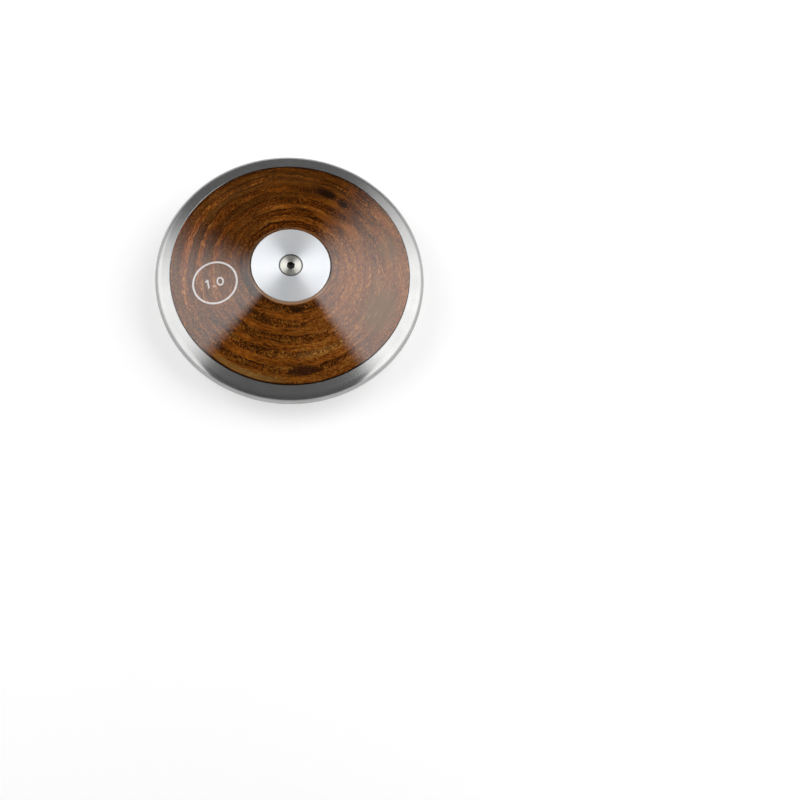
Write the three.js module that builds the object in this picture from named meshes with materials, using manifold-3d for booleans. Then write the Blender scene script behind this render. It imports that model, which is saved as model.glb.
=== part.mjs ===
// A wooden discus with a metal rim, of the 1 kg class: 181 mm across and 38 mm thick.
// Two halves of cross-laminated plywood, turned to a shallow cone, clamp the tongue of a
// steel rim between them. An aluminium plate closes the middle of each face, and two
// countersunk screws pull the plates onto a threaded steel core. The glued veneers that
// the cone cuts through are pieces of their own, so each one shows as a ring.
// Lengths are in millimetres, the origin is the disc's centre and +Z is its axis.

import * as THREE from 'three';
import { mergeVertices } from 'three/addons/utils/BufferGeometryUtils.js';
import Module from 'manifold-3d';

const wasm = await Module();
wasm.setup();

// The whole disc
const discRadius = 90.5;
const discThickness = 38;

// Rim: a T in section, with a round edge, two flanks and a tongue that points inwards
const rimWidth = 10.3; // from the seam with the wood to the outside
const edgeRadius = 6.25;
const seamBevel = 0.3;
const tongueReach = 9.8;
const tongueThickness = 4.4;

// Wood: each half is a blank of veneers glued crosswise, turned to the cone of its face
const blankVeneerCount = 18;
const blankSpare = 0.44; // what the lathe takes off the blank over the plate's face
const thinnestVeneer = 0.15; // what is left of a veneer under this is turned away
const woodReveal = 0.1; // the lacquered wood lies this far below rim and plates
const woodGap = 0.2; // between the wood and the metal round it and in it
const pocketLip = 0.5; // flat land of wood round the plate

// Centre plates: a flange in a pocket of the wood, and a boss under the screw's head
const plateRadius = 26.15;
const plateThickness = 3;
const plateBevel = 0.3;
const bossRadius = 11;
const bossDepth = 2.5;
const bossRelief = 0.3; // under the boss, so that the plate clamps on the core alone

// Screws: countersunk, with a hexagon socket
const screwRadius = 4;
const screwBevel = 0.8;
const screwEndSpace = 5.3; // between the ends of the two screws
const shankGap = 0.3;
const countersinkRadius = 8.1;
const headRecess = 0.35;
const headGap = 0.15;
const socketWidth = 5; // across the flats
const socketDepth = 3;
const socketPointShare = 0.15; // height of the drill point, as a share of the socket's width
const socketTurn = THREE.MathUtils.degToRad(20);

// Core: the threaded bar between the plates
const coreRadius = 8;
const coreBevel = 0.5;
const threadGap = 0.15;

// How far every cutting shape runs past what it cuts
const overrun = 1;

// Facets round each form
const rimSides = 96;
const edgeSteps = 5;
const woodSides = 56;
const plateSides = 40;
const holeSides = 16;
const screwSides = 24;
const hexagonSides = 6;

const finishes = {
  rim: { color: 0xb4b7ba, roughness: 0.28, metalness: 1 },
  plate: { color: 0xdadcde, roughness: 0.3, metalness: 1 },
  screw: { color: 0xb9b5aa, roughness: 0.35, metalness: 1 },
  core: { color: 0x8d8f92, roughness: 0.5, metalness: 1 },
  board: { color: 0x9a6a38, roughness: 0.6, metalness: 0 },
  lightVeneer: { color: 0x8c5522, roughness: 0.2, metalness: 0 },
  darkVeneer: { color: 0x5a3214, roughness: 0.2, metalness: 0 },
};

// Places that follow from the sizes above
const halfThickness = discThickness / 2;
const veneerThickness = (halfThickness + blankSpare) / blankVeneerCount;
const seamRadius = discRadius - rimWidth;
const edgeCentre = discRadius - edgeRadius;
const tongueRadius = seamRadius - tongueReach;
const tongueTop = tongueThickness / 2;
const flangeBottom = halfThickness - plateThickness;
const bossBottom = flangeBottom - bossDepth;
const headTop = halfThickness - headRecess;
const headRadius = countersinkRadius - headRecess - headGap;
const woodRadius = seamRadius - woodGap;

// Each face is a straight cone that starts at the plate's edge and touches the round edge
// of the rim: the angle down to the edge's centre, less the angle that its radius takes.
const faceRun = edgeCentre - plateRadius;
const faceReach = Math.hypot(faceRun, halfThickness);
const taper = Math.atan2(halfThickness, faceRun) - Math.asin(edgeRadius / faceReach);

function faceHeight(radius) {
  return halfThickness - (radius - plateRadius) * Math.tan(taper);
}

// The wood's outer radius at a height: upright beside the rim, then along the cone
const shoulderHeight = faceHeight(woodRadius) - woodReveal;

function woodRadiusAt(height) {
  const below = Math.max(height - shoulderHeight, 0);
  return woodRadius - below / Math.tan(taper);
}

// The boards that the cone doesn't reach are left whole, and the rest are single veneers
const coreVeneers = Math.floor(shoulderHeight / veneerThickness);
const boardTop = coreVeneers * veneerThickness;

// A polygon cuts its corners, so a hole of that many sides is drawn wider to clear a round
// piece by the gap.
function holeRadius(radius, gap, sides) {
  return (radius + gap) / Math.cos(Math.PI / sides);
}

const pocketRadius = holeRadius(plateRadius, woodGap, plateSides);
const stackTop = faceHeight(pocketRadius + pocketLip) - woodReveal;
const lastVeneer = Math.ceil((stackTop - thinnestVeneer) / veneerThickness);

// A closed mesh with its shared vertices merged, as a solid that can be joined and cut
function toSolid(geometry) {
  geometry.deleteAttribute('normal');
  geometry.deleteAttribute('uv');
  const merged = mergeVertices(geometry);
  const corners = merged.index.array;
  const triangles = [];
  for (let i = 0; i < corners.length; i += 3) {
    const [a, b, c] = corners.slice(i, i + 3);
    if (a !== b && b !== c && c !== a) triangles.push(a, b, c);
  }
  return new wasm.Manifold(new wasm.Mesh({
    numProp: 3,
    vertProperties: merged.attributes.position.array,
    triVerts: Uint32Array.from(triangles),
  }));
}

// Turns a profile of [radius, height] points about Z. The points run outwards at the
// bottom, upwards outside and inwards at the top. Side -1 mirrors it to the lower face.
function revolve(profile, sides, side = 1, turn = 0) {
  const points = profile.map(([radius, height]) => new THREE.Vector2(radius, side * height));
  if (side < 0) points.reverse();
  const geometry = new THREE.LatheGeometry(points, sides, turn, 2 * Math.PI);
  geometry.rotateX(Math.PI / 2);
  return toSolid(geometry);
}

// A ring's profile closes on itself instead of on the axis
function revolveRing(profile, sides, side = 1) {
  return revolve([...profile, profile[0]], sides, side);
}

function toMesh(name, solid, finish) {
  const { vertProperties, triVerts } = solid.getMesh();
  const geometry = new THREE.BufferGeometry();
  geometry.setAttribute('position', new THREE.BufferAttribute(vertProperties, 3));
  geometry.setIndex(new THREE.BufferAttribute(triVerts, 1));
  geometry.computeVertexNormals();
  const mesh = new THREE.Mesh(geometry, new THREE.MeshStandardMaterial(finish));
  mesh.name = name;
  return mesh;
}

// From the tongue's inner end up the flank, down the cone and round the edge to the middle
// plane. The lower half is the same line mirrored.
function rimProfile() {
  const upper = [
    [tongueRadius, tongueTop],
    [seamRadius, tongueTop],
    [seamRadius, faceHeight(seamRadius) - seamBevel],
    [seamRadius + seamBevel, faceHeight(seamRadius + seamBevel)],
  ];
  for (let step = 0; step <= edgeSteps; step++) {
    const angle = (Math.PI / 2 - taper) * (1 - step / edgeSteps);
    const reach = edgeCentre + edgeRadius * Math.cos(angle);
    upper.push([reach, edgeRadius * Math.sin(angle)]);
  }
  const lower = upper.slice(0, -1).map(([radius, height]) => [radius, -height]);
  return [...lower, ...upper.reverse()];
}

// Room for the core, the boss and the plate, each a step wider than the one below it
function hubHole(side) {
  const steps = [
    [coreRadius, -overrun, holeSides],
    [bossRadius, bossBottom - bossRelief, holeSides],
    [plateRadius, flangeBottom, plateSides],
  ];
  const top = halfThickness + overrun;
  const holes = steps.map(([radius, bottom, sides]) => {
    const reach = holeRadius(radius, woodGap, sides);
    return revolve([[0, bottom], [reach, bottom], [reach, top], [0, top]], sides, side);
  });
  return holes.reduce((whole, hole) => whole.add(hole));
}

// The inner board of a half, with the rebate that takes half of the rim's tongue
function coreBoard(side) {
  const rebateRadius = tongueRadius - woodGap;
  const blank = revolve([
    [0, 0],
    [rebateRadius, 0],
    [rebateRadius, tongueTop],
    [woodRadius, tongueTop],
    [woodRadius, boardTop],
    [0, boardTop],
  ], woodSides, side);
  return blank.subtract(hubHole(side));
}

// Veneer number k lies between two glue lines, and the lathe has cut its edge to the cone
function veneer(number, side) {
  const bottom = (number - 1) * veneerThickness;
  const top = Math.min(number * veneerThickness, stackTop);
  const outline = [[0, bottom], [woodRadiusAt(bottom), bottom]];
  if (bottom < shoulderHeight && shoulderHeight < top) {
    outline.push([woodRadius, shoulderHeight]);
  }
  outline.push([woodRadiusAt(top), top], [0, top]);
  return revolve(outline, woodSides, side).subtract(hubHole(side));
}

function centrePlate(side) {
  const boreRadius = holeRadius(screwRadius, shankGap, plateSides);
  return revolveRing([
    [boreRadius, bossBottom],
    [bossRadius, bossBottom],
    [bossRadius, flangeBottom],
    [plateRadius, flangeBottom],
    [plateRadius, halfThickness - plateBevel],
    [plateRadius - plateBevel, halfThickness],
    [countersinkRadius, halfThickness],
    [boreRadius, halfThickness - (countersinkRadius - boreRadius)],
  ], plateSides, side);
}

function hubCore() {
  const boreRadius = holeRadius(screwRadius, threadGap, screwSides);
  return revolveRing([
    [boreRadius, -bossBottom],
    [coreRadius - coreBevel, -bossBottom],
    [coreRadius, coreBevel - bossBottom],
    [coreRadius, bossBottom - coreBevel],
    [coreRadius - coreBevel, bossBottom],
    [boreRadius, bossBottom],
  ], screwSides);
}

// The head's cone is parallel to the countersink, and the socket ends in a drill point
function screw(side) {
  const end = screwEndSpace / 2;
  const blank = revolve([
    [0, end],
    [screwRadius - screwBevel, end],
    [screwRadius, end + screwBevel],
    [screwRadius, headTop - (headRadius - screwRadius)],
    [headRadius, headTop],
    [0, headTop],
  ], screwSides, side);
  const cornerRadius = socketWidth / 2 / Math.cos(Math.PI / hexagonSides);
  const floor = headTop - socketDepth;
  const socket = revolve([
    [0, floor - socketPointShare * socketWidth],
    [cornerRadius, floor],
    [cornerRadius, headTop + overrun],
    [0, headTop + overrun],
  ], hexagonSides, side, socketTurn);
  return blank.subtract(socket);
}

// One half of the disc: board, veneers from the inside out, plate and screw
function half(label, side) {
  const group = new THREE.Group();
  group.add(toMesh(`${label}_core_board`, coreBoard(side), finishes.board));
  for (let number = coreVeneers + 1; number <= lastVeneer; number++) {
    const finish = number % 2 ? finishes.darkVeneer : finishes.lightVeneer;
    const name = `${label}_veneer_${String(number).padStart(2, '0')}`;
    group.add(toMesh(name, veneer(number, side), finish));
  }
  group.add(toMesh(`${label}_plate`, centrePlate(side), finishes.plate));
  group.add(toMesh(`${label}_screw`, screw(side), finishes.screw));
  return group;
}

const discus = new THREE.Group();
discus.add(toMesh('rim', revolveRing(rimProfile(), rimSides), finishes.rim));
discus.add(half('upper', 1));
discus.add(half('lower', -1));
discus.add(toMesh('hub_core', hubCore(), finishes.core));

export default discus;
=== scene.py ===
import bpy
import math
import numpy as np
from mathutils import Matrix, Vector


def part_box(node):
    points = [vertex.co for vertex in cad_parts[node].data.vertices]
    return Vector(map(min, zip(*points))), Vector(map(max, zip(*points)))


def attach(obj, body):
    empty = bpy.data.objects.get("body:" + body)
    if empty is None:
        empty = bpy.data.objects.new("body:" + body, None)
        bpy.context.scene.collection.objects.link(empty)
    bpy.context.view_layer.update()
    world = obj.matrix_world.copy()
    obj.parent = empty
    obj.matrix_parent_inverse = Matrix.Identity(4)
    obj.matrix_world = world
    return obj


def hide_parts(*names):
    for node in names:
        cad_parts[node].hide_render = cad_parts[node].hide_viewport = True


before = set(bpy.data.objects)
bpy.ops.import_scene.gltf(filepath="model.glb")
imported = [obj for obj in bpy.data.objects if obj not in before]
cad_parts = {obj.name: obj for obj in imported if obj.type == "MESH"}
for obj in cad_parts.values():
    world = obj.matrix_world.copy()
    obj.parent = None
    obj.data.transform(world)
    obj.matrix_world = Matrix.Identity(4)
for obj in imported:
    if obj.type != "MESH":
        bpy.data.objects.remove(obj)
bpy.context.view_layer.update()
print("frame loaded:", len(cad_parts), "nodes")

mm = 0.001

# Sizes that the frame gives
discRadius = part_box("rim")[1].x
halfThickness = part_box("upper_plate")[1].z
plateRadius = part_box("upper_plate")[1].x
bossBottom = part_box("upper_plate")[0].z
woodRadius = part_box("upper_core_board")[1].x
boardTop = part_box("upper_core_board")[1].z
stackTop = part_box("upper_veneer_18")[1].z
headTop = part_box("upper_screw")[1].z
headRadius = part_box("upper_screw")[1].x
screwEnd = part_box("upper_screw")[0].z

firstVeneer = 7
lastVeneer = 18
veneerThickness = boardTop / (firstVeneer - 1)


# Each face is a cone from the plate's edge, tangent to the round edge of the rim
rim = {
    "edgeRadius": 6.25 * mm,
    "seamRadius": 80.2 * mm,
    "seamRounding": 0.3 * mm,
    "tongueRadius": 70.4 * mm,
    "tongueThickness": 4.4 * mm,
    "tongueRounding": 0.4 * mm,
    "arcStep": math.radians(4),
    "segments": 384,
}
faceRun = discRadius - rim["edgeRadius"] - plateRadius
taper = math.atan2(halfThickness, faceRun) - math.asin(
    rim["edgeRadius"] / math.hypot(faceRun, halfThickness))
slope = math.tan(taper)


def faceHeight(radius):
    return halfThickness - (radius - plateRadius) * slope


# An outline of (radius, height, rounding) corners, counter-clockwise, with an arc at each
# corner that touches both of its sides, and a point just before and after each arc
def roundedOutline(corners, closed=True, arcStep=math.radians(9), shoulder=0.12 * mm):
    points = []
    count = len(corners)
    for i, (radius, height, rounding) in enumerate(corners):
        here = np.array([radius, height])
        if rounding == 0 or (not closed and i in (0, count - 1)):
            points.append(here[None])
            continue
        before = np.array(corners[i - 1][:2]) - here
        after = np.array(corners[(i + 1) % count][:2]) - here
        before /= np.linalg.norm(before)
        after /= np.linalg.norm(after)
        halfAngle = math.acos(np.clip(before @ after, -1, 1)) / 2
        reach = rounding / math.tan(halfAngle)
        inwards = (before + after) / np.linalg.norm(before + after)
        centre = here + inwards * rounding / math.sin(halfAngle)
        start = here + before * reach - centre
        turn = math.pi - 2 * halfAngle
        turn *= np.sign(before[1] * after[0] - before[0] * after[1])
        steps = max(3, math.ceil(abs(turn) / arcStep))
        angle = np.linspace(0, turn, steps + 1)[:, None]
        arc = centre + np.cos(angle) * start + np.sin(angle) * np.array([-start[1], start[0]])
        points += [here + before * (reach + shoulder)], arc, [here + after * (reach + shoulder)]
    return np.vstack(points)


# Puts a grid of points[angle, place] into a mesh. The angles close into a ring. The places
# close too, or end on the axis, where each end is one point.
def gridMesh(name, points, closed=True, sharpAngle=35):
    segments, places = points.shape[:2]
    ring = np.arange(segments)[:, None]
    following = (ring + 1) % segments
    if closed:
        vertices = points.reshape(-1, 3)
        column = np.arange(places)[None, :]
        ahead = (column + 1) % places
        columns = places
        fans = []
    else:
        columns = places - 2
        vertices = np.vstack([points[:, 1:-1].reshape(-1, 3), points[0, :1], points[0, -1:]])
        column = np.arange(columns - 1)[None, :]
        ahead = column + 1
        pole = segments * columns
        here = ring * columns
        there = following * columns
        fans = np.hstack([0 * ring + pole, there, here]).tolist()
        fans += np.hstack([0 * ring + pole + 1, here + columns - 1, there + columns - 1]).tolist()
    quads = np.stack([
        ring * columns + column,
        following * columns + column,
        following * columns + ahead,
        ring * columns + ahead,
    ], -1).reshape(-1, 4)
    mesh = bpy.data.meshes.new(name)
    mesh.from_pydata(vertices, [], quads.tolist() + fans)
    mesh.polygons.foreach_set("use_smooth", np.ones(len(mesh.polygons), bool))
    mesh.set_sharp_from_angle(angle=math.radians(sharpAngle))
    piece = bpy.data.objects.new(name, mesh)
    bpy.context.scene.collection.objects.link(piece)
    return piece


# point = (radius cos angle, radius sin angle, side height), for radii and heights that are
# one row or a row for each angle. Side -1 mirrors it and turns the outline round.
def turned(name, radius, height, angles, side=1, closed=True, sharpAngle=35):
    radius, height, angle = np.broadcast_arrays(radius, height, angles[:, None])
    points = np.stack([radius * np.cos(angle), radius * np.sin(angle), side * height], -1)
    if side < 0:
        points = points[:, ::-1]
    return gridMesh(name, points, closed, sharpAngle)


def ringAngles(segments, start=0.0):
    return start + np.arange(segments) * 2 * math.pi / segments


def place(piece, material, slot, *nodes):
    piece.data.materials.append(material)
    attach(piece, "root")
    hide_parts(*nodes)
    return piece


# Shader trees: a value is a number, a colour or the socket of another node
def feed(tree, socket, value):
    if isinstance(value, bpy.types.NodeSocket):
        tree.links.new(value, socket)
    else:
        socket.default_value = value


def addNode(tree, kind, inputs=None, **settings):
    node = tree.nodes.new(kind)
    for key, value in settings.items():
        setattr(node, key, value)
    for key, value in (inputs or {}).items():
        feed(tree, node.inputs[key], value)
    return node


def calc(tree, operation, *values):
    node = addNode(tree, "ShaderNodeMath", operation=operation)
    for i, value in enumerate(values):
        feed(tree, node.inputs[i], value)
    return node.outputs[0]


def vectorCalc(tree, operation, *values):
    node = addNode(tree, "ShaderNodeVectorMath", operation=operation)
    for i, value in enumerate(values):
        feed(tree, node.inputs[i], value)
    return node.outputs[0]


def dot(tree, first, second):
    node = addNode(tree, "ShaderNodeVectorMath", {0: first, 1: second}, operation="DOT_PRODUCT")
    return node.outputs["Value"]


# 0 below low, 1 above high, with a soft step between
def softStep(tree, value, low, high):
    node = addNode(tree, "ShaderNodeMapRange", interpolation_type="SMOOTHSTEP")
    for key, number in (("Value", value), ("From Min", low), ("From Max", high)):
        feed(tree, node.inputs[key], number)
    return node.outputs["Result"]


# 1 below low, 0 above high
def fadeOut(tree, value, low, high):
    return calc(tree, "SUBTRACT", 1.0, softStep(tree, value, low, high))


# How far a value is from 0.5, times a strength
def swing(tree, value, strength):
    return calc(tree, "MULTIPLY", calc(tree, "SUBTRACT", value, 0.5), strength)


def axisDistance(tree, x, y):
    squares = [calc(tree, "MULTIPLY", value, value) for value in (x, y)]
    return calc(tree, "POWER", calc(tree, "ADD", *squares), 0.5)


def blendColours(tree, share, first, second):
    node = addNode(tree, "ShaderNodeMix", data_type="RGBA")
    feed(tree, node.inputs[0], share)
    feed(tree, node.inputs[6], first)
    feed(tree, node.inputs[7], second)
    return node.outputs[2]


def noise(tree, vector, scale=1.0, detail=2.0, roughness=0.5, distortion=0.0):
    inputs = {
        "Vector": vector, "Scale": scale, "Detail": detail, "Roughness": roughness,
        "Distortion": distortion,
    }
    return addNode(tree, "ShaderNodeTexNoise", inputs).outputs["Fac"]


def combine(tree, x, y, z):
    return addNode(tree, "ShaderNodeCombineXYZ", {"X": x, "Y": y, "Z": z}).outputs[0]


# The material, its tree and shader, and the place on the piece in millimetres
def newMaterial(name):
    material = bpy.data.materials.new(name)
    material.use_nodes = True
    tree = material.node_tree
    shader = tree.nodes["Principled BSDF"]
    inMetres = addNode(tree, "ShaderNodeTexCoord").outputs["Object"]
    point = vectorCalc(tree, "MULTIPLY", inMetres, (1 / mm, 1 / mm, 1 / mm))
    return material, tree, shader, point


# Metal that was turned in a lathe: the fine rings spread a reflection across themselves
turning = {
    "heightShare": 0.7,      # the section is followed by radius plus this share of the height
    "bandsPerMm": 0.35,
    "bandsPlace": (4.0, 9.0),
    "cloudsPerMm": 0.06,
    "ringShare": 0.35,       # of the tone, which the clouds make up to 1
    "toneFrom": 0.3,
    "toneTo": 0.7,
    "groove": 0.01 * mm,
}


def turnedMetal(name, look):
    material, tree, shader, point = newMaterial(name)
    x, y, z = addNode(tree, "ShaderNodeSeparateXYZ", {"Vector": point}).outputs[:3]
    radius = axisDistance(tree, x, y)
    along = calc(tree, "ADD", radius, calc(tree, "MULTIPLY", z, turning["heightShare"]))
    around = combine(tree, calc(tree, "MULTIPLY", y, -1.0), x, 0.0)
    feed(tree, shader.inputs["Tangent"], vectorCalc(tree, "NORMALIZE", around))
    shader.inputs["Anisotropic"].default_value = look["anisotropy"]
    shader.inputs["Anisotropic Rotation"].default_value = look["rotation"]
    shader.inputs["Metallic"].default_value = look["metallic"]
    ringPlace = calc(tree, "MULTIPLY", along, look["ringsPerMm"])
    rings = noise(tree, combine(tree, ringPlace, 0.0, 0.0), detail=3.0, roughness=0.6)
    bandPlace = calc(tree, "MULTIPLY", along, turning["bandsPerMm"])
    bands = noise(tree, combine(tree, bandPlace, *turning["bandsPlace"]), detail=2.0)
    clouds = noise(tree, point, scale=turning["cloudsPerMm"], detail=3.0)
    tone = calc(tree, "ADD", calc(tree, "MULTIPLY", rings, turning["ringShare"]),
                calc(tree, "MULTIPLY", clouds, 1 - turning["ringShare"]))
    tone = softStep(tree, tone, turning["toneFrom"], turning["toneTo"])
    colour = blendColours(tree, tone, look["dark"], look["light"])
    # Painted shade in seams and hollows, where the look has it
    if "paintedShade" in look:
        for share, tint in look["paintedShade"](tree, radius, z):
            colour = blendColours(tree, share, colour, tint)
    feed(tree, shader.inputs["Base Color"], colour)
    roughness = calc(tree, "ADD", swing(tree, bands, look["roughnessSwing"]), look["roughness"])
    feed(tree, shader.inputs["Roughness"], roughness)
    bump = addNode(tree, "ShaderNodeBump", {
        "Height": rings, "Strength": look["bump"], "Distance": turning["groove"]})
    feed(tree, shader.inputs["Normal"], bump.outputs[0])
    return material


# Painted shade on the metal: in the crease at the rim's seam, in the countersink, on the screw
# head's edge and down its socket. Where it starts and ends, in mm from the axis or below the face,
# how much of it there is, and its colour
paintedShade = {
    "seam": (80.15, 80.35, 0.3, (0.05, 0.047, 0.043, 1)),
    "countersink": (7.9, 8.15, 0.85, (0.05, 0.048, 0.044, 1)),
    "headEdge": (6.7, 7.5, 0.8, (0.03, 0.029, 0.026, 1)),
    "socket": (0.1, 0.7, 0.95, (0.03, 0.029, 0.026, 1)),
}


# Painted shade on the rim along its seam with the wood
def seamPaintedShade(tree, radius, z):
    start, end, share, tint = paintedShade["seam"]
    return [(calc(tree, "MULTIPLY", fadeOut(tree, radius, start, end), share), tint)]


# Painted shade in the plate's countersink round the screw head
def countersinkPaintedShade(tree, radius, z):
    start, end, share, tint = paintedShade["countersink"]
    return [(calc(tree, "MULTIPLY", fadeOut(tree, radius, start, end), share), tint)]


# Painted shade on the screw head's outer edge and down the hex socket, darker with depth
def screwPaintedShade(tree, radius, z):
    depth = calc(tree, "SUBTRACT", headTop / mm, calc(tree, "ABSOLUTE", z))
    shares = []
    for key, measure in (("headEdge", radius), ("socket", depth)):
        start, end, share, tint = paintedShade[key]
        shares.append((calc(tree, "MULTIPLY", softStep(tree, measure, start, end), share), tint))
    return shares


rimZinc = turnedMetal("rimZinc", {
    "dark": (0.39, 0.39, 0.387, 1), "light": (0.45, 0.45, 0.446, 1), "metallic": 0.78,
    "roughness": 0.2, "roughnessSwing": 0.03, "anisotropy": 0.5, "rotation": 0.25,
    "ringsPerMm": 3.0, "bump": 0.25, "paintedShade": seamPaintedShade,
})
plateAluminium = turnedMetal("plateAluminium", {
    "dark": (0.89, 0.92, 0.96, 1), "light": (0.955, 0.967, 0.98, 1), "metallic": 0.54,
    "roughness": 0.52, "roughnessSwing": 0.05, "anisotropy": 0.86, "rotation": 0.25,
    "ringsPerMm": 5.0, "bump": 0.3, "paintedShade": countersinkPaintedShade,
})
screwNickel = turnedMetal("screwNickel", {
    "dark": (0.80, 0.782, 0.712, 1), "light": (0.87, 0.857, 0.79, 1), "metallic": 0.9,
    "roughness": 0.50, "roughnessSwing": 0.06, "anisotropy": 0.85, "rotation": 0.25,
    "ringsPerMm": 4.0, "bump": 0.4, "paintedShade": screwPaintedShade,
})
coreSteel = turnedMetal("coreSteel", {
    "dark": (0.30, 0.30, 0.31, 1), "light": (0.40, 0.40, 0.41, 1), "metallic": 1.0,
    "roughness": 0.45, "roughnessSwing": 0.1, "anisotropy": 0.4, "rotation": 0.25,
    "ringsPerMm": 2.0, "bump": 0.5,
})


# Veneer: fibres run near X in the light plies and near Y in the dark ones. The cone cuts
# them at a shallow angle, so they are streaks where the ring runs along them and speckle where
# it runs across. The attribute veneer is the ply's number, with a minus on the lower face.
wood = {
    "light": {
        "dark": (0.031, 0.0078, 0.0010, 1), "middle": (0.148, 0.0405, 0.0037, 1),
        "pale": (0.31, 0.086, 0.0065, 1), "gold": (0.29, 0.105, 0.0125, 1),
        "fleck": (0.36, 0.160, 0.031, 1), "alongX": True, "sidePaintedLight": 0.45, "farPaintedShade": 0.04,
        "farShadeTint": (1.0, 1.0, 1.0, 1), "lowerLeftGain": 0.28,
    },
    "dark": {
        "dark": (0.011, 0.0029, 0.0007, 1), "middle": (0.080, 0.0210, 0.0020, 1),
        "pale": (0.23, 0.066, 0.0058, 1), "gold": (0.22, 0.085, 0.0110, 1),
        "fleck": (0.34, 0.155, 0.030, 1), "alongX": False, "sidePaintedLight": 1.6, "farPaintedShade": 0.17,
        "farShadeTint": (1.0, 0.84, 0.6, 1), "lowerLeftGain": -0.05,
    },
    "pore": (0.008, 0.0030, 0.0010, 1),
    "glue": (0.010, 0.0036, 0.0012, 1),
    "tan": (0.25, 0.115, 0.034, 1),
    "bare": (0.32, 0.18, 0.10, 1),
    "level": 0.89,           # how bright the whole stain is
    "bareTo": 28.5,          # the ring round the plate has no stain up to this radius
    "bareSoftness": 0.7,
    "roughness": 0.4,
    "fibreRoughness": 0.25,
    "fibreBump": 0.25,
    "fibreDepth": 0.08 * mm,
    "coatRoughness": 0.035,
    "coatIor": 1.67,
    "coatCells": 0.35,       # the lacquer's faint ripple
    "coatBump": 0.12,
    "coatDepth": 0.05 * mm,
}
grain = {
    "turn": math.radians(-18),
    "plyOffset": 400,        # each ply is cut from a place of its own, up to this far off
    "warpCells": 0.04,
    "warpReach": (9.0, 0.5, 9.0),
    "patchCells": 0.045,
    "calmSides": 0.5,        # how much of the contrast is lost at the left and right
    "figureSwing": 2.4,
    "patchSwing": 0.6,
    "speckleSwing": 1.25,
    "crossSpeckleSwing": 2.0,    # added where the ring runs across the fibres
    "fibreSwing": 2.2,
    "farSide": (115, -0.1, 0.8),     # towards this angle in degrees, between two cosines
    "lowerLeft": (222, 0.7, 1.0),
}
layers = {                   # cells for each mm across, up and along the fibres
    "figure": {"cells": (0.075, 1.6, 0.030), "detail": 3.0, "roughness": 0.6, "distortion": 0.3},
    "speckle": {"cells": (0.9, 2.9, 0.30), "detail": 2.0, "roughness": 0.65},
    "fibre": {"cells": (1.5, 3.6, 0.22), "detail": 3.0, "roughness": 0.65},
    "pores": {"cells": (1.0, 3.3, 0.20), "detail": 1.0},
    "grit": {"cells": (0.95, 3.6, 0.27), "detail": 1.0},
    "hue": {"cells": (0.09, 0.9, 0.04), "detail": 2.0},
}
knot = (0.012, 0.0052, 0.0020, 1)
heartwood = (0.030, 0.0095, 0.0036, 1)
sapwood = (0.150, 0.073, 0.019, 1)
ember = (0.300, 0.088, 0.010, 1)
straw = (0.260, 0.150, 0.045, 1)
russet = (0.070, 0.0215, 0.0024, 1)
umber = (0.026, 0.0080, 0.0012, 1)
# Spots on the upper face: angle in degrees, radius, half length and half width in mm, then
# their colour and how strong it is
spots = [
    # The first two are broad painted shade over the far side and the far left
    (98, 65, 60, 15, russet, 0.35),
    (138, 47, 26, 25, umber, 0.38),
    (57, 43.6, 10, 2.4, ember, 0.45),
    (57, 68.5, 8, 2.0, heartwood, 0.35),
    (335, 66, 17, 11, sapwood, 0.8),
    (14, 68, 9, 7, sapwood, 0.6),
    (34, 50, 7, 2.5, ember, 0.6),
    (33, 74.5, 9, 2.6, ember, 0.4),
    (60, 58.5, 5, 2.6, ember, 0.3),
    (276, 71, 10, 3.4, heartwood, 0.85),
    (278, 31, 6.5, 2.6, knot, 0.8),
    (68, 62.5, 10, 3.8, heartwood, 0.85),
    (66.5, 62, 6.5, 2.9, knot, 0.9),
    (54, 61, 4.4, 2.6, knot, 0.9),
    (247, 77.4, 26, 2.0, straw, 0.45),
    (288, 61.5, 16, 2.2, straw, 0.2),
    (351, 58, 4.5, 2.6, straw, 0.3),
    (327, 61.6, 2.2, 0.5, straw, 0.6),
    (331, 64.5, 3.0, 0.4, straw, 0.6),
    (313.5, 65.2, 0.9, 0.8, knot, 1.0),
    (112, 70.5, 56, 5.0, straw, 0.05),
    (134, 68.5, 24, 2.4, straw, 0.06),
]
goldSpots = [(291, 61.5, 15, 2.4), (247, 76.8, 26, 2.2), (272, 76.8, 14, 2.2)]


# 1 inside an oval that lies along the ring, 0 outside it and on the lower face, with an edge
# that wanders by the noise ragged
def spotShare(tree, at, degrees, reach, halfLength, halfWidth):
    turn = calc(tree, "SUBTRACT", at["angle"], math.radians(degrees))
    turn = calc(tree, "WRAP", turn, math.pi, -math.pi)
    lengthways = calc(tree, "MULTIPLY", turn, reach / halfLength)
    sideways = calc(tree, "SUBTRACT", at["radius"], reach)
    sideways = calc(tree, "MULTIPLY", sideways, 1 / halfWidth)
    oval = addNode(tree, "ShaderNodeVectorMath", {
        "Vector": combine(tree, lengthways, sideways, 0.0)}, operation="LENGTH")
    distance = calc(tree, "ADD", oval.outputs["Value"], at["ragged"])
    return calc(tree, "MULTIPLY", fadeOut(tree, distance, 0.6, 1.3), at["onTop"])


# 0 to 1 as the way out from the axis turns towards a direction, between two cosines
def facing(tree, point, radius, degrees, low, high):
    direction = (math.cos(math.radians(degrees)), math.sin(math.radians(degrees)), 0)
    cosine = calc(tree, "DIVIDE", dot(tree, point, direction), radius)
    return softStep(tree, cosine, low, high)


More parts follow.
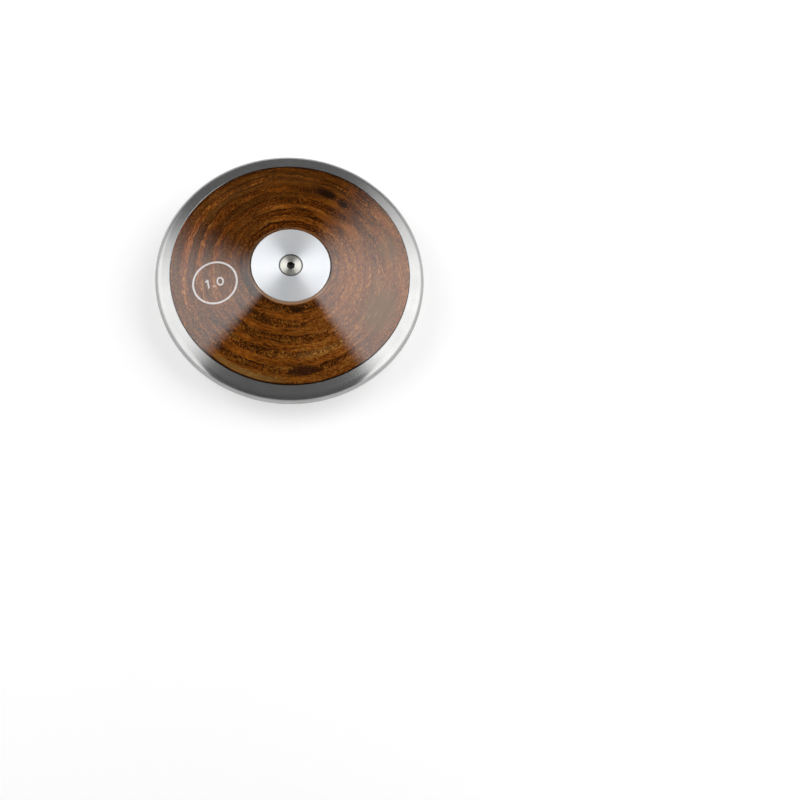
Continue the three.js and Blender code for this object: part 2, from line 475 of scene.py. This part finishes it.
# Where a point is on the disc and in its ply, and the noises there, by name
def plyPlace(tree, point, look):
    x, y, z = addNode(tree, "ShaderNodeSeparateXYZ", {"Vector": point}).outputs[:3]
    at = {"x": x, "y": y, "radius": axisDistance(tree, x, y), "angle": calc(tree, "ARCTAN2", y, x)}
    at["onTop"] = calc(tree, "GREATER_THAN", z, 0.0)
    for key in ("veneer", "fromGlue", "shade"):
        at[key] = addNode(tree, "ShaderNodeAttribute", attribute_name=key).outputs["Fac"]
    cosine, sine = math.cos(grain["turn"]), math.sin(grain["turn"])
    grainX = dot(tree, point, (cosine, sine, 0))
    grainY = dot(tree, point, (-sine, cosine, 0))
    along, across = (grainX, grainY) if look["alongX"] else (grainY, grainX)
    sideways = calc(tree, "ABSOLUTE", calc(tree, "DIVIDE", grainX, at["radius"]))
    at["side"] = calc(tree, "POWER", sideways, 2.0)
    at["cross"] = at["side"] if look["alongX"] else calc(tree, "SUBTRACT", 1.0, at["side"])

    # Fibre space: across, up and along the grain, each ply at a place of its own
    own = addNode(tree, "ShaderNodeTexWhiteNoise", {"W": at["veneer"]}, noise_dimensions="1D")
    at["own"] = own.outputs["Value"]
    offset = vectorCalc(tree, "MULTIPLY", own.outputs["Color"], (grain["plyOffset"],) * 3)
    fibres = vectorCalc(tree, "ADD", combine(tree, across, z, along), offset)
    warp = addNode(tree, "ShaderNodeTexNoise", {
        "Vector": fibres, "Scale": grain["warpCells"], "Detail": 2.0}).outputs["Color"]
    shift = vectorCalc(tree, "MULTIPLY", vectorCalc(tree, "SUBTRACT", warp, (0.5, 0.5, 0.5)),
                       grain["warpReach"])
    warped = vectorCalc(tree, "ADD", fibres, shift)
    for key, layer in layers.items():
        settings = {name: value for name, value in layer.items() if name != "cells"}
        at[key] = noise(tree, vectorCalc(tree, "MULTIPLY", warped, layer["cells"]), **settings)
    at["patches"] = noise(tree, vectorCalc(tree, "ADD", point, offset), scale=grain["patchCells"])
    at["ragged"] = calc(tree, "ADD", swing(tree, at["fibre"], 1.0), swing(tree, at["speckle"], 1.4))
    at["far"] = facing(tree, point, at["radius"], *grain["farSide"])
    at["lowerLeft"] = facing(tree, point, at["radius"], *grain["lowerLeft"])
    return at


# tone = (figure + patches + speckle) calmed at the sides + fibre, from dark to bright wood
def stain(tree, at, look):
    tone = calc(tree, "ADD", swing(tree, at["figure"], grain["figureSwing"]),
                swing(tree, at["patches"], grain["patchSwing"]))
    strength = calc(tree, "MULTIPLY_ADD", at["cross"], grain["crossSpeckleSwing"],
                    grain["speckleSwing"])
    speckle = calc(tree, "MULTIPLY", swing(tree, at["speckle"], 1.0), strength)
    tone = calc(tree, "MULTIPLY_ADD", calc(tree, "ADD", tone, speckle), at["calmness"], 0.5)
    tone = calc(tree, "ADD", tone, swing(tree, at["fibre"], grain["fibreSwing"]))
    colour = blendColours(tree, softStep(tree, tone, -0.05, 0.5), look["dark"], look["middle"])
    bright = blendColours(tree, softStep(tree, at["hue"], 0.42, 0.58), look["pale"], look["gold"])
    bright = blendColours(tree, calc(tree, "MULTIPLY", at["side"], 0.8), bright, wood["tan"])
    return blendColours(tree, softStep(tree, tone, 0.5, 1.05), colour, bright)


# Gold flecks, where an open pore catches the light, and dark pores
def flecksAndPores(tree, at, look, colour):
    zones = calc(tree, "MULTIPLY", softStep(tree, at["patches"], 0.54, 0.66),
                 calc(tree, "MULTIPLY_ADD", at["side"], -0.45, 0.5))
    for spot in goldSpots:
        zones = calc(tree, "MAXIMUM", zones, spotShare(tree, at, *spot))
    flecks = calc(tree, "MULTIPLY", softStep(tree, at["grit"], 0.56, 0.65),
                  calc(tree, "MULTIPLY_ADD", zones, 0.85, 0.07))
    colour = blendColours(tree, calc(tree, "MULTIPLY", flecks, at["smooth"]), colour, look["fleck"])
    pores = calc(tree, "MULTIPLY", fadeOut(tree, at["pores"], 0.33, 0.42),
                 calc(tree, "MULTIPLY_ADD", at["cross"], 0.35, 0.2))
    pores = calc(tree, "MULTIPLY", pores, at["calmness"])
    return blendColours(tree, calc(tree, "MULTIPLY", pores, at["smooth"]), colour, wood["pore"])


# How bright the wood comes out: by ply, from its own tone with painted light and shade towards each
# side in the shade attribute; painted light at the sides; a change at the lower left, lighter in
# the light plies; and painted shade, warmer in the dark plies, on the far side
def plyToneAndPaintedShade(tree, at, look, colour):
    gain = calc(tree, "MULTIPLY", at["shade"], wood["level"])
    for share, change in ((at["side"], look["sidePaintedLight"]), (at["lowerLeft"], look["lowerLeftGain"]),
                          (at["far"], -look["farPaintedShade"])):
        gain = calc(tree, "MULTIPLY", gain, calc(tree, "MULTIPLY_ADD", share, change, 1.0))
    tint = blendColours(tree, at["far"], (1, 1, 1, 1), look["farShadeTint"])
    colour = vectorCalc(tree, "MULTIPLY", colour, tint)
    return vectorCalc(tree, "MULTIPLY", colour, combine(tree, gain, gain, gain))


edges = {
    "glueLine": (0.15, 0.9),     # mm from a glue line
    "glueLineShare": 0.55,
    "seam": (78.9, 79.6),        # mm from the axis
    "seamShare": 0.9,
    "seamSideLoss": 0.85,        # how much less of it there is at the left and right
    "pocket": (27.1, 27.9),
    "pocketShare": 0.8,
}


# A dark line along parts of some glue lines; at the seam a dark joint line with painted shade in
# the gap, less at the left and right; painted shade at the left and right round the plate; and the
# pale ring round the plate
def edgeLines(tree, point, at, colour):
    line = calc(tree, "MULTIPLY", fadeOut(tree, at["fromGlue"], *edges["glueLine"]),
                softStep(tree, at["own"], 0.2, 0.6))
    parts = softStep(tree, noise(tree, point, scale=0.035, detail=1.0), 0.42, 0.52)
    line = calc(tree, "MULTIPLY", line, calc(tree, "MULTIPLY", at["far"], parts))
    strength = calc(tree, "MULTIPLY", at["smooth"], edges["glueLineShare"])
    colour = blendColours(tree, calc(tree, "MULTIPLY", line, strength), colour, wood["glue"])
    # Dark joint and painted shade at the seam with the rim, less at the left and right
    sideways = calc(tree, "ABSOLUTE", calc(tree, "DIVIDE", at["x"], at["radius"]))
    strength = calc(tree, "MULTIPLY_ADD", softStep(tree, sideways, 0.55, 0.95),
                    -edges["seamSideLoss"], edges["seamShare"])
    seam = calc(tree, "MULTIPLY", softStep(tree, at["radius"], *edges["seam"]), strength)
    colour = blendColours(tree, seam, colour, wood["glue"])
    # Painted shade in the gap round the plate, at the left and right
    pocketPaintedShade = calc(tree, "MULTIPLY", fadeOut(tree, at["radius"], *edges["pocket"]),
                      calc(tree, "MULTIPLY", at["side"], edges["pocketShare"]))
    colour = blendColours(tree, pocketPaintedShade, colour, wood["glue"])
    bare = fadeOut(tree, at["radius"], wood["bareTo"] - wood["bareSoftness"], wood["bareTo"])
    near = softStep(tree, calc(tree, "DIVIDE", at["y"], at["radius"]), -0.2, -0.9)
    bare = calc(tree, "MULTIPLY", bare, calc(tree, "MULTIPLY_ADD", at["far"], 0.2, near))
    return blendColours(tree, bare, colour, wood["bare"])


def addCoat(shader):
    shader.inputs["Coat Weight"].default_value = 1.0
    shader.inputs["Coat Roughness"].default_value = wood["coatRoughness"]
    shader.inputs["Coat IOR"].default_value = wood["coatIor"]


def veneerWood(name, look):
    material, tree, shader, point = newMaterial(name)
    at = plyPlace(tree, point, look)
    shares = [spotShare(tree, at, *spot[:4]) for spot in spots]
    sapShares = [share for spot, share in zip(spots, shares) if spot[4] is sapwood]
    at["smooth"] = calc(tree, "MULTIPLY_ADD", calc(tree, "MAXIMUM", *sapShares), -0.75, 1.0)
    at["calmness"] = calc(tree, "MULTIPLY_ADD", at["side"], -grain["calmSides"], 1.0)
    colour = stain(tree, at, look)
    colour = flecksAndPores(tree, at, look, colour)
    colour = plyToneAndPaintedShade(tree, at, look, colour)
    for spot, share in zip(spots, shares):
        colour = blendColours(tree, calc(tree, "MULTIPLY", share, spot[5]), colour, spot[4])
    colour = edgeLines(tree, point, at, colour)
    feed(tree, shader.inputs["Base Color"], colour)
    roughness = calc(tree, "MULTIPLY_ADD", at["fibre"], wood["fibreRoughness"], wood["roughness"])
    feed(tree, shader.inputs["Roughness"], roughness)
    bump = addNode(tree, "ShaderNodeBump", {
        "Height": at["fibre"], "Strength": wood["fibreBump"], "Distance": wood["fibreDepth"]})
    feed(tree, shader.inputs["Normal"], bump.outputs[0])
    ripple = addNode(tree, "ShaderNodeBump", {
        "Height": noise(tree, point, scale=wood["coatCells"]), "Strength": wood["coatBump"],
        "Distance": wood["coatDepth"]})
    feed(tree, shader.inputs["Coat Normal"], ripple.outputs[0])
    addCoat(shader)
    shader.inputs["Specular IOR Level"].default_value = 0.0
    return material


lightVeneer = veneerWood("lightVeneer", wood["light"])
darkVeneer = veneerWood("darkVeneer", wood["dark"])
print("finishes made")


# A T in section: the virtual corner where the two faces' cones meet is rounded to the edge
def makeRim():
    seam = rim["seamRadius"]
    tongue = rim["tongueThickness"] / 2
    apex = plateRadius + halfThickness / slope
    upper = [
        (seam, faceHeight(seam), rim["seamRounding"]),
        (seam, tongue, rim["tongueRounding"] / 2),
        (rim["tongueRadius"], tongue, rim["tongueRounding"]),
    ]
    lower = [(radius, -height, rounding) for radius, height, rounding in reversed(upper)]
    outline = roundedOutline([*lower, (apex, 0, rim["edgeRadius"]), *upper],
                             arcStep=rim["arcStep"])
    piece = turned("turned_rim", outline[:, 0], outline[:, 1], ringAngles(rim["segments"]))
    return place(piece, rimZinc, "rim_zinc", "rim")


plate = {
    "thickness": 3 * mm,
    "bossRadius": 11 * mm,
    "boreRadius": 4.31 * mm,
    "countersinkRadius": 8.1 * mm,
    "edgeRounding": 0.3 * mm,
    "mouthRounding": 0.12 * mm,
    "segments": 256,
}


def makePlate(label, side):
    flange = halfThickness - plate["thickness"]
    bore = plate["boreRadius"]
    sunk = plate["countersinkRadius"]
    rounding = plate["edgeRounding"]
    outline = roundedOutline([
        (bore, bossBottom, plate["mouthRounding"]),
        (plate["bossRadius"], bossBottom, rounding),
        (plate["bossRadius"], flange, rounding),
        (plateRadius, flange, rounding),
        (plateRadius, halfThickness, rounding),
        (sunk, halfThickness, plate["mouthRounding"]),
        (bore, halfThickness - (sunk - bore), plate["mouthRounding"]),
    ])
    piece = turned(f"{label}_turned_plate", outline[:, 0], outline[:, 1],
                   ringAngles(plate["segments"]), side)
    return place(piece, plateAluminium, "plate_aluminium", f"{label}_plate")


screw = {
    "shankRadius": 4 * mm,
    "endBevel": 0.8 * mm,
    "endRounding": 0.15 * mm,
    "neckRounding": 0.2 * mm,
    "headRounding": 0.3 * mm,
    "socketWidth": 5 * mm,
    "socketDepth": 3 * mm,
    "socketPoint": 0.75 * mm,
    "socketBevel": 0.25 * mm,
    "floorRounding": 0.1 * mm,
    "socketTurn": math.radians(20),
    "segments": 192,
}


# Each place of the outline is part circle and part hexagon:
# radius(angle) = own radius (1 - hexShare + hexShare hexagon(angle))
def makeScrew(label, side):
    shank = screw["shankRadius"]
    bevel = screw["socketBevel"]
    rounding = screw["floorRounding"]
    halfSide = math.pi / 6
    corner = screw["socketWidth"] / 2 / math.cos(halfSide)
    floor = headTop - screw["socketDepth"]
    body = roundedOutline([
        (0, screwEnd, 0),
        (shank - screw["endBevel"], screwEnd, screw["endRounding"]),
        (shank, screwEnd + screw["endBevel"], screw["endRounding"]),
        (shank, headTop - (headRadius - shank), screw["neckRounding"]),
        (headRadius, headTop, screw["headRounding"]),
        (corner + bevel, headTop, 0),
    ], closed=False)
    socket = np.array([      # radius, height and share of hexagon, down to the drill point
        (corner + 0.2 * bevel, headTop - 0.2 * bevel, 0.75),
        (corner, headTop - bevel, 1),
        (corner, floor + rounding, 1),
        (corner - rounding / 2, floor, 1),
        (corner * 0.55, floor - rounding, 0.4),
        (0, floor - screw["socketPoint"], 0),
    ])
    outline = np.vstack([body, socket[:, :2]])
    hexShare = np.concatenate([np.zeros(len(body)), socket[:, 2]])
    angles = ringAngles(screw["segments"], screw["socketTurn"])
    local = (angles - screw["socketTurn"]) % (2 * halfSide) - halfSide
    hexagon = math.cos(halfSide) / np.cos(local)
    radius = outline[:, 0] * (1 - hexShare + hexShare * hexagon[:, None])
    piece = turned(f"{label}_socket_screw", radius, outline[:, 1], angles, side, closed=False)
    return place(piece, screwNickel, "screw_nickel", f"{label}_screw")


blank = {
    "reveal": 0.1 * mm,        # the lacquered wood lies this far below rim and plates
    "pocketRadius": 26.43 * mm,
    "bossHoleRadius": 11.42 * mm,
    "coreHoleRadius": 8.36 * mm,
    "bossHoleBottom": 13.2 * mm,
    "underLedge": 0.01 * mm,   # the hole's radius under a ledge is read this far below it
    "crown": 0.016 * mm,       # the plies stand proud and hollow by this much in turn
    "glueWave": 0.09 * mm,
    "crests": (2, 46),         # a glue line has waves with 2 to 45 crests round the disc,
    "crestFall": 0.75,         # whose height falls with this power of the crests
    "glueRamp": 6 * mm,        # the waves of a glue line die out this far inside the face
    "pocketMargin": 0.3 * mm,  # and no nearer to the pocket than this
    "shoulder": 0.2 * mm,
    "facePlaces": 15,
    "segments": 360,
    "sharpAngle": 8,
    # Each ply's own tone with painted light and shade towards each side
    "shades": {                # how pale a ply is towards -Y, -X, +Y and +X
        8: (0.8, 0.6, 0.6, 1.15), 9: (0.94, 1.3, 1.2, 0.85), 10: (1.13, 0.57, 0.72, 1.15),
        11: (1.2, 1.08, 1.1, 0.78), 12: (1.15, 0.54, 0.65, 0.8), 13: (1.05, 1.2, 1.03, 1.0),
        14: (1.02, 0.75, 1.18, 1.18), 15: (1.3, 0.82, 0.95, 1.1), 16: (1.02, 0.65, 1.1, 1.2),
        17: (0.9, 0.41, 0.9, 0.82), 18: (0.85, 0.45, 0.85, 0.75),
    },
}
angles = ringAngles(blank["segments"])


def holeRadius(height):
    if height < blank["bossHoleBottom"]:
        return blank["coreHoleRadius"]
    if height < halfThickness - plate["thickness"]:
        return blank["bossHoleRadius"]
    return blank["pocketRadius"]


# Height of a glue line at the face for each angle: even, plus a sum of random waves
def glueLine(number, side):
    height = number * veneerThickness
    if number < firstVeneer or number >= lastVeneer:
        return np.full(len(angles), min(height, stackTop))
    random = np.random.default_rng(100 * number + side + 7)
    crests = np.arange(*blank["crests"])
    size = random.normal(size=len(crests)) / crests ** blank["crestFall"]
    phase = random.uniform(0, 2 * math.pi, len(crests))
    wave = (size * np.cos(angles[:, None] * crests + phase)).sum(1)
    return height + blank["glueWave"] * wave / wave.std()


# The radius at which the cone reaches a height
def faceRadius(height):
    return plateRadius + (halfThickness - blank["reveal"] - height) / slope


# One ply, as rows of radii and heights for each angle: in along its lower glue line, out to
# the face, up the face from s = 0 to s = 1 as cone height + crown sin(pi s)^2, and back in
def makeVeneer(label, number, side):
    lower = glueLine(number - 1, side)
    upper = glueLine(number, side)
    flat = np.ones(len(angles))
    below = (number - 1) * veneerThickness
    above = min(number * veneerThickness, stackTop)
    radii, heights, distances = [], [], []

    def add(radius, height, fromGlue=0.0):
        radii.append(radius * flat)
        heights.append(height * flat)
        distances.append(fromGlue * flat)

    def ramp(nominal):
        return max(blank["pocketRadius"] + blank["pocketMargin"],
                   faceRadius(nominal) - blank["glueRamp"])

    add(holeRadius(below), below)
    lowerEnd = np.minimum(faceRadius(lower), woodRadius)
    upperEnd = faceRadius(upper)
    if number > firstVeneer:
        add(ramp(below), below)
    add(lowerEnd, lower)
    if number == firstVeneer:
        shoulderHeight = halfThickness - blank["reveal"] - (woodRadius - plateRadius) * slope
        add(woodRadius, shoulderHeight - blank["shoulder"])
        add(woodRadius - 0.25 * blank["shoulder"], shoulderHeight - 0.2 * blank["shoulder"])
        lowerEnd = woodRadius - blank["shoulder"]
    share = np.linspace(0, 1, blank["facePlaces"])[:, None]
    faceRadii = lowerEnd + (upperEnd - lowerEnd) * share
    crown = blank["crown"] * (1 if number % 2 == 0 else -1)
    if number in (firstVeneer, lastVeneer):
        crown = 0
    faceHeights = halfThickness - blank["reveal"] - (faceRadii - plateRadius) * slope
    faceHeights = faceHeights + crown * np.sin(math.pi * share) ** 2
    skip = 0 if number == firstVeneer else 1
    faceDistances = np.abs(upperEnd - lowerEnd) * np.minimum(share, 1 - share) / mm
    for i in range(skip, blank["facePlaces"]):
        add(faceRadii[i], faceHeights[i], faceDistances[i])
    if number < lastVeneer:
        add(ramp(above), above)
    add(holeRadius(above - blank["underLedge"]), above)
    for step in (halfThickness - plate["thickness"], blank["bossHoleBottom"]):
        if below < step < above:
            add(holeRadius(step), step)
            add(holeRadius(step - blank["underLedge"]), step)
    piece = turned(f"{label}_ply_{number:02d}", np.array(radii).T, np.array(heights).T, angles,
                   side, sharpAngle=blank["sharpAngle"])
    distances = np.array(distances).T[:, ::side]
    # The shade attribute: the ply's tone with painted light and shade, blended between the four
    # sides
    near, left, far, right = blank["shades"].get(number, (1.0, 1.0, 1.0, 1.0))
    shade = np.where(np.sin(angles) < 0, near, far) * np.sin(angles) ** 2
    shade += np.where(np.cos(angles) < 0, left, right) * np.cos(angles) ** 2
    stamps = {
        "veneer": np.full(distances.size, side * number),
        "shade": np.repeat(shade, distances.shape[1]),
        "fromGlue": distances.ravel(),
    }
    for key, values in stamps.items():
        stamp = piece.data.attributes.new(key, "FLOAT", "POINT")
        stamp.data.foreach_set("value", values.astype(np.float32))
    isLight = number % 2 == 0
    return place(piece, lightVeneer if isLight else darkVeneer,
                 "light_veneer" if isLight else "dark_veneer", f"{label}_veneer_{number:02d}")


makeRim()
for label, side in (("upper", 1), ("lower", -1)):
    makePlate(label, side)
    makeScrew(label, side)
    for number in range(firstVeneer, lastVeneer + 1):
        makeVeneer(label, number, side)
print("pieces turned")

# The pieces that stay hidden keep their CAD mesh
for name, material in (("hub_core", coreSteel), ("upper_core_board", darkVeneer),
                       ("lower_core_board", darkVeneer)):
    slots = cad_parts[name].data.materials
    slots.clear()
    slots.append(material)


# Printed mark on the upper face: a ring with the weight class in it
mark = {
    "angle": math.radians(192),
    "radius": 51 * mm,
    "ringRadius": 14.45 * mm,   # to the middle of the line
    "lineWidth": 1.25 * mm,
    "figureHeight": 6.2 * mm,
    "figureWidth": 3.8 * mm,
    "figureLine": 1.0 * mm,
    "figureGap": 4.465 * mm,    # the middles of the signs lie at these shares of it
    "places": {"one": -1.0, "point": -0.18, "zero": 0.8},
    "turn": math.radians(10),
    "proud": 0.03 * mm,
    "sunk": 0.06 * mm,
    "ringSegments": 144,
    "flagReach": 0.85,          # of the figure one, as shares of half its width and height
    "flagFoot": 0.55,
    "flagRise": 0.4,
    "ink": (0.72, 0.68, 0.66, 1),
    "wornInk": (0.42, 0.36, 0.33, 1),
    "wearCells": 2.2,
    "wearRange": (0.30, 0.55),
    "roughness": 0.3,
    "wearRoughness": 0.2,
}


def printWhite():
    material, tree, shader, point = newMaterial("printWhite")
    wear = noise(tree, point, scale=mark["wearCells"], detail=3.0, roughness=0.7)
    fresh = softStep(tree, wear, *mark["wearRange"])
    colour = blendColours(tree, fresh, mark["wornInk"], mark["ink"])
    feed(tree, shader.inputs["Base Color"], colour)
    roughness = calc(tree, "MULTIPLY_ADD", wear, mark["wearRoughness"], mark["roughness"])
    feed(tree, shader.inputs["Roughness"], roughness)
    addCoat(shader)
    return material


# A flat section carried along a path[place, 2] on the face: point = path + across offset,
# with height = cone height + its own. A closed path meets itself, an open one gets two ends.
def printedStroke(path, width, closed):
    if closed:
        ahead = np.roll(path, -1, 0) - np.roll(path, 1, 0)
    else:
        ahead = np.gradient(path, axis=0)
    ahead /= np.linalg.norm(ahead, axis=1)[:, None]
    across = np.stack([-ahead[:, 1], ahead[:, 0]], -1)
    offset = np.array([-1, -0.5, 0, 0.5, 1, 1, -1]) * width / 2
    lift = np.array([1, 1, 1, 1, 1, -1, -1]) > 0
    flat = path[:, None] + across[:, None] * offset[None, :, None]
    radius = np.linalg.norm(flat, axis=2)
    height = halfThickness - blank["reveal"] - (radius - plateRadius) * slope
    height = height + np.where(lift, mark["proud"] + blank["crown"], -mark["sunk"])
    points = np.concatenate([flat, height[:, :, None]], -1)
    rows, columns = points.shape[:2]
    row = np.arange(rows if closed else rows - 1)[:, None]
    column = np.arange(columns)[None, :]
    nextRow = (row + 1) % rows
    nextColumn = (column + 1) % columns
    faces = np.stack([row * columns + column, nextRow * columns + column,
                      nextRow * columns + nextColumn, row * columns + nextColumn], -1)
    faces = faces.reshape(-1, 4).tolist()
    if not closed:
        faces.append(list(range(columns)))
        faces.append([(rows - 1) * columns + i for i in reversed(range(columns))])
    return points.reshape(-1, 3), faces


def makeMark():
    ring = ringAngles(mark["ringSegments"])[:, None]
    circle = np.hstack([np.cos(ring), np.sin(ring)])
    high, wide, line = mark["figureHeight"] / 2, mark["figureWidth"] / 2, mark["figureLine"]
    atOne, atPoint, atZero = [mark["figureGap"] * mark["places"][key]
                              for key in ("one", "point", "zero")]
    up = np.linspace(-1, 1, 16)[:, None]
    one = np.hstack([0 * up, up * high])
    rise = np.linspace(0, 1, 8)[:, None]
    flag = np.hstack([-mark["flagReach"] * wide * (1 - rise),
                      high * (mark["flagFoot"] + mark["flagRise"] * rise)])
    zero = circle[::3] * (wide, high - line / 2)
    point = np.hstack([0 * up, up * line / 2])
    strokes = [
        (circle * mark["ringRadius"], mark["lineWidth"], True),
        (one + (atOne, 0), line, False),
        (flag + (atOne, 0), line, False),
        (point + (atPoint, line / 2 - high), line, False),
        (zero + (atZero, 0), line, True),
    ]
    cosine, sine = math.cos(mark["turn"]), math.sin(mark["turn"])
    turnFlat = np.array([[cosine, sine], [-sine, cosine]])
    centre = mark["radius"] * np.array([math.cos(mark["angle"]), math.sin(mark["angle"])])
    vertices, faces, count = [], [], 0
    for path, width, closed in strokes:
        points, quads = printedStroke(path @ turnFlat + centre, width, closed)
        vertices.append(points)
        faces += [[count + i for i in face] for face in quads]
        count += len(points)
    mesh = bpy.data.meshes.new("weight_mark")
    mesh.from_pydata(np.vstack(vertices), [], faces)
    piece = bpy.data.objects.new("weight_mark", mesh)
    bpy.context.scene.collection.objects.link(piece)
    mesh.materials.append(printWhite())
    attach(piece, "root")
    return piece


makeMark()
print("mark printed")


# Light: a large soft panel on each side, seen as the pale veil on the lacquer. It leans out
# from over the disc to the horizon. Its corners are directions from the disc's centre, and
# each of its edges fades on both sides of the plane through the centre and two corners.
def horizonPoint(degrees):
    return math.cos(math.radians(degrees)), math.sin(math.radians(degrees)), 0


light = {
    "left": {
        "corners": [horizonPoint(220.5), (-0.268, 0.146, 1), (-0.70, 0.88, 1), horizonPoint(146)],
        "softness": [0.05, 0.13, 0.24],
        "radiance": 2.3,
        "side": -1,
    },
    "right": {
        "corners": [horizonPoint(34), (0.37, 0.83, 1), (0.211, 0.121, 1), horizonPoint(-47.5)],
        "softness": [0.34, 0.11, 0.05],
        "radiance": 2.48,
        "side": 1,
    },
    "inner": (0.19, 1.2),    # distance from the middle and height of the lamp's inner edge
    "outer": (1.9, 0.0),
    "length": 6.0,
    "horizonShare": 0.6,     # brightness at the horizon
    "fullFrom": math.sin(math.radians(16)),
}


def makePanel(name, panel):
    (innerX, innerZ), (outerX, outerZ) = light["inner"], light["outer"]
    side = panel["side"]
    lamp = bpy.data.lights.new(f"panel_{name}", "AREA")
    lamp.shape = "RECTANGLE"
    lamp.size = math.hypot(outerX - innerX, outerZ - innerZ)
    lamp.size_y = light["length"]
    lamp.energy = panel["radiance"] * math.pi * lamp.size * lamp.size_y
    lamp.use_nodes = True
    tree = lamp.node_tree
    position = addNode(tree, "ShaderNodeNewGeometry").outputs["Position"]
    direction = vectorCalc(tree, "NORMALIZE", position)
    low = light["horizonShare"]
    share = calc(tree, "MULTIPLY_ADD", softStep(
        tree, dot(tree, direction, (0, 0, 1)), 0.0, light["fullFrom"]), 1 - low, low)
    corners = [Vector(corner) for corner in panel["corners"]]
    for first, second, softness in zip(corners, corners[1:], panel["softness"]):
        inside = first.cross(second).normalized()
        share = calc(tree, "MULTIPLY", share, softStep(
            tree, dot(tree, direction, inside), -softness, softness))
    feed(tree, tree.nodes["Emission"].inputs["Strength"], share)
    lampObject = bpy.data.objects.new(lamp.name, lamp)
    outwards = Vector((side * (outerX - innerX), 0, outerZ - innerZ)).normalized()
    lengthways = Vector((0, side, 0))
    turn = Matrix((outwards, lengthways, outwards.cross(lengthways))).transposed()
    middle = Vector((side * (innerX + outerX) / 2, 0, (innerZ + outerZ) / 2))
    lampObject.matrix_world = Matrix.Translation(middle) @ turn.to_4x4()
    lampObject.visible_camera = False
    bpy.context.scene.collection.objects.link(lampObject)


makePanel("left", light["left"])
makePanel("right", light["right"])


def seenDirectly(tree):
    path = addNode(tree, "ShaderNodeLightPath").outputs
    seen = calc(tree, "MAXIMUM", path["Is Camera Ray"], path["Is Glossy Ray"])
    return calc(tree, "MAXIMUM", seen, path["Is Transmission Ray"])


def stageMaterial(name, diffuse, seenGlow, mirroredGlow):
    material = bpy.data.materials.new(name)
    material.use_nodes = True
    tree = material.node_tree
    tree.nodes.remove(tree.nodes["Principled BSDF"])
    cloth = addNode(tree, "ShaderNodeBsdfDiffuse", {"Color": (diffuse, diffuse, diffuse, 1)})
    path = addNode(tree, "ShaderNodeLightPath").outputs
    seen = calc(tree, "MULTIPLY", path["Is Camera Ray"], seenGlow)
    strength = calc(tree, "MULTIPLY_ADD", path["Is Glossy Ray"], mirroredGlow, seen)
    glow = addNode(tree, "ShaderNodeEmission", {"Strength": strength})
    both = addNode(tree, "ShaderNodeAddShader")
    tree.links.new(cloth.outputs[0], both.inputs[0])
    tree.links.new(glow.outputs[0], both.inputs[1])
    tree.links.new(both.outputs[0], tree.nodes["Material Output"].inputs["Surface"])
    return material


# Stage: a pale floor, and a dark dome round it that only the reflections see
stage = {
    "floorRadius": 0.6,
    "floorColour": 0.6,
    "floorSeenGlow": 0.5,
    "floorMirroredGlow": 0.42,
    "domeRadius": 3.2,
    "domeGlow": 0.012,
    "domeRows": 16,
    "segments": 96,
    "worldSeen": 1.0,        # the world is white to camera and mirrors, but lights very little
    "worldCast": 0.03,
}


def stageObject(name, vertices, faces, material):
    mesh = bpy.data.meshes.new(name)
    mesh.from_pydata(vertices, [], faces)
    mesh.materials.append(material)
    thing = bpy.data.objects.new(name, mesh)
    bpy.context.scene.collection.objects.link(thing)
    return thing


segments, rows = stage["segments"], stage["domeRows"]
circle = ringAngles(segments)
floorPoints = np.stack([
    stage["floorRadius"] * np.cos(circle), stage["floorRadius"] * np.sin(circle),
    np.full(segments, -halfThickness)], -1)
stageObject("floor", floorPoints, [list(range(segments))], stageMaterial(
    "floorWhite", stage["floorColour"], stage["floorSeenGlow"], stage["floorMirroredGlow"]))

# point = dome radius (cos rise cos angle, cos rise sin angle, sin rise)
rise = np.linspace(0, math.pi / 2, rows + 1)[:, None]
domePoints = stage["domeRadius"] * np.stack(np.broadcast_arrays(
    np.cos(rise) * np.cos(circle), np.cos(rise) * np.sin(circle), np.sin(rise)),
    -1).reshape(-1, 3)
around = np.arange(segments)[None, :] + segments * np.arange(rows)[:, None]
onwards = np.roll(around, -1, 1)
domeFaces = np.stack([around, around + segments, onwards + segments, onwards], -1).reshape(-1, 4)
dome = stageObject("dark_dome", domePoints, domeFaces.tolist(), stageMaterial(
    "domeGrey", 0.0, 0.0, stage["domeGlow"]))
dome.visible_camera = False
dome.visible_diffuse = False
dome.visible_shadow = False

world = bpy.data.worlds.new("whiteRoom")
bpy.context.scene.world = world
world.use_nodes = True
worldTree = world.node_tree
strength = calc(worldTree, "MULTIPLY_ADD", seenDirectly(worldTree),
                stage["worldSeen"] - stage["worldCast"], stage["worldCast"])
background = worldTree.nodes["Background"]
background.inputs["Color"].default_value = (1, 1, 1, 1)
feed(worldTree, background.inputs["Strength"], strength)

camera = {
    "location": (0, -0.32895, 0.72889),
    "target": (0.0716, -0.0880, 0),
    "roll": math.radians(15.6),
    "lens": 52.58,
}
cameraData = bpy.data.cameras.new("camera")
cameraData.lens = camera["lens"]
cameraObject = bpy.data.objects.new("camera", cameraData)
bpy.context.scene.collection.objects.link(cameraObject)
location, target = Vector(camera["location"]), Vector(camera["target"])
aim = (target - location).to_track_quat("-Z", "Y").to_matrix()
cameraObject.matrix_world = Matrix.Translation(location) @ (
    aim @ Matrix.Rotation(camera["roll"], 3, "Z")).to_4x4()
bpy.context.scene.camera = cameraObject
bpy.context.scene.view_settings.view_transform = "Standard"
print("stage, light and camera set")

bpy.context.view_layer.update()
